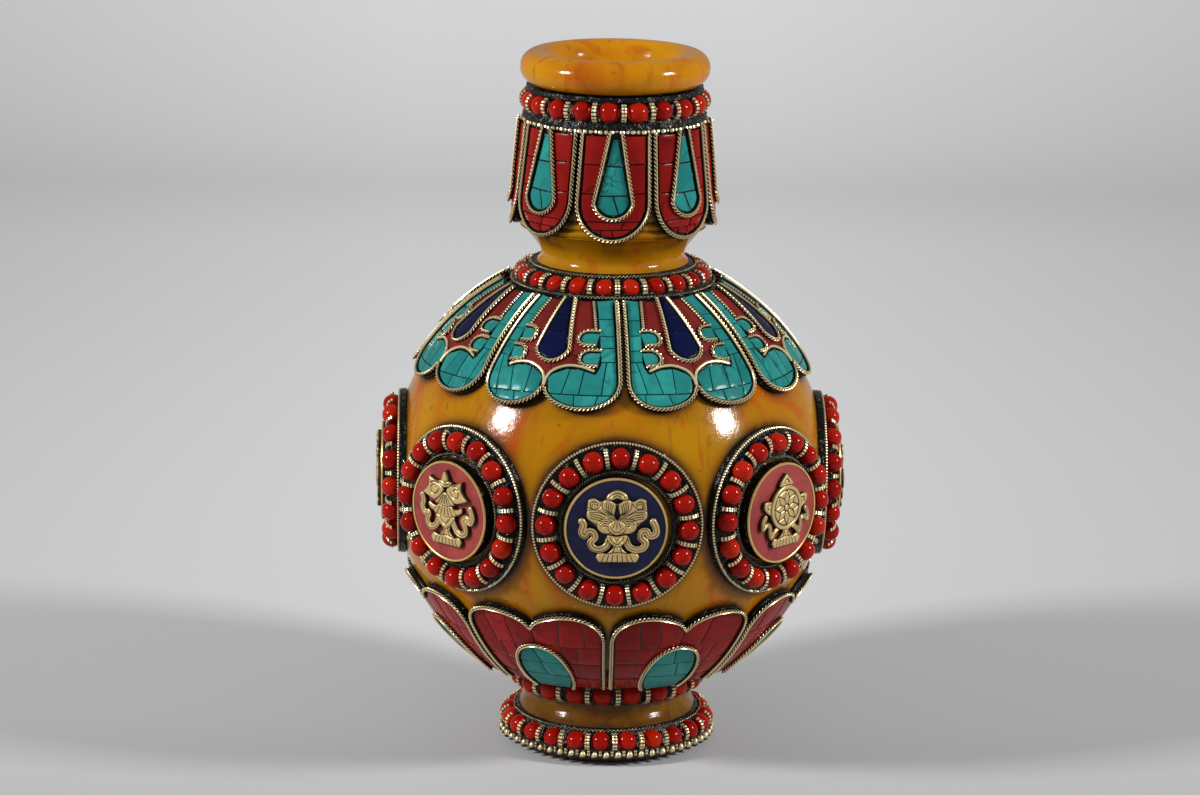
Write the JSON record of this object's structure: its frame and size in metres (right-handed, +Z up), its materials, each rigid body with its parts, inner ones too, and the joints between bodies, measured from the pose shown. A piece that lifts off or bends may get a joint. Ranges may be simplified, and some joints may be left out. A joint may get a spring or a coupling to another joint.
{
  "type": "vase",
  "caption": "Himalayan globe vase of amber resin with a ring foot and rolled lip, dressed with coral bead bands, inlaid stone plates and round auspicious-symbol medallions.",
  "frame": {"origin": "centre of the base plate's underside", "axes": "+Z up along the vase's axis, -Y towards the lotus medallion at the front"},
  "size_m": [0.1366, 0.1366, 0.204],
  "materials": {
    "amber": "polished amber-coloured resin with reddish veins and a dark patina beside the wires",
    "black_lac": "black lac with fine sparkle",
    "coral_beads": "polished coral-red beads set in black lac",
    "coral_inlay": "polished coral-red stone chips with dark joints",
    "turquoise_inlay": "polished turquoise chips with fine dark veins",
    "lapis_inlay": "polished deep blue stone",
    "enamel": "smooth enamel field inside a thin gilt rim",
    "brass_wire": "twisted and granulated pale brass wire, dark in its recesses",
    "cast_brass": "cast and engraved gilt brass relief",
    "base_plate": "dark red-brown lacquered disc"
  },
  "bodies": {
    "root": {"base_plate": "base_plate", "amber_foot": "amber", "amber_globe": "amber", "amber_neck": "amber", "amber_lip": "amber", "base_bead_band": "coral_beads", "foot_bead_band": "coral_beads", "collar_bead_band": "coral_beads", "neck_bead_band": "coral_beads", "base_granule_wire": "brass_wire", "neck_panel_1": "coral_inlay", "neck_panel_2": "coral_inlay", "neck_panel_3": "coral_inlay", "neck_panel_4": "coral_inlay", "neck_panel_5": "coral_inlay", "neck_panel_6": "coral_inlay", "neck_panel_7": "coral_inlay", "neck_panel_8": "coral_inlay", "shoulder_lappet_1": "turquoise_inlay", "shoulder_lappet_2": "turquoise_inlay", "shoulder_lappet_3": "turquoise_inlay", "shoulder_lappet_4": "turquoise_inlay", "shoulder_lappet_5": "turquoise_inlay", "shoulder_lappet_6": "turquoise_inlay", "shoulder_lappet_7": "turquoise_inlay", "shoulder_lappet_8": "turquoise_inlay", "lower_petal_1": "coral_inlay", "lower_petal_2": "coral_inlay", "lower_petal_3": "coral_inlay", "lower_petal_4": "coral_inlay", "lower_petal_5": "coral_inlay", "lower_petal_6": "coral_inlay", "lower_petal_7": "coral_inlay", "lower_petal_8": "coral_inlay", "medallion_1_bead_dish": "black_lac", "medallion_1_plaque": "enamel", "medallion_1_lotus": "cast_brass", "medallion_2_bead_dish": "black_lac", "medallion_2_plaque": "enamel", "medallion_2_wheel": "cast_brass", "medallion_3_bead_dish": "black_lac", "medallion_3_plaque": "enamel", "medallion_3_knot": "cast_brass", "medallion_4_bead_dish": "black_lac", "medallion_4_plaque": "enamel", "medallion_4_conch": "cast_brass", "medallion_5_bead_dish": "black_lac", "medallion_5_plaque": "enamel", "medallion_5_fish": "cast_brass", "medallion_6_bead_dish": "black_lac", "medallion_6_plaque": "enamel", "medallion_6_banner": "cast_brass", "medallion_7_bead_dish": "black_lac", "medallion_7_plaque": "enamel", "medallion_7_vase": "cast_brass", "medallion_8_bead_dish": "black_lac", "medallion_8_plaque": "enamel", "medallion_8_parasol": "cast_brass"}
  },
  "joints": []
}
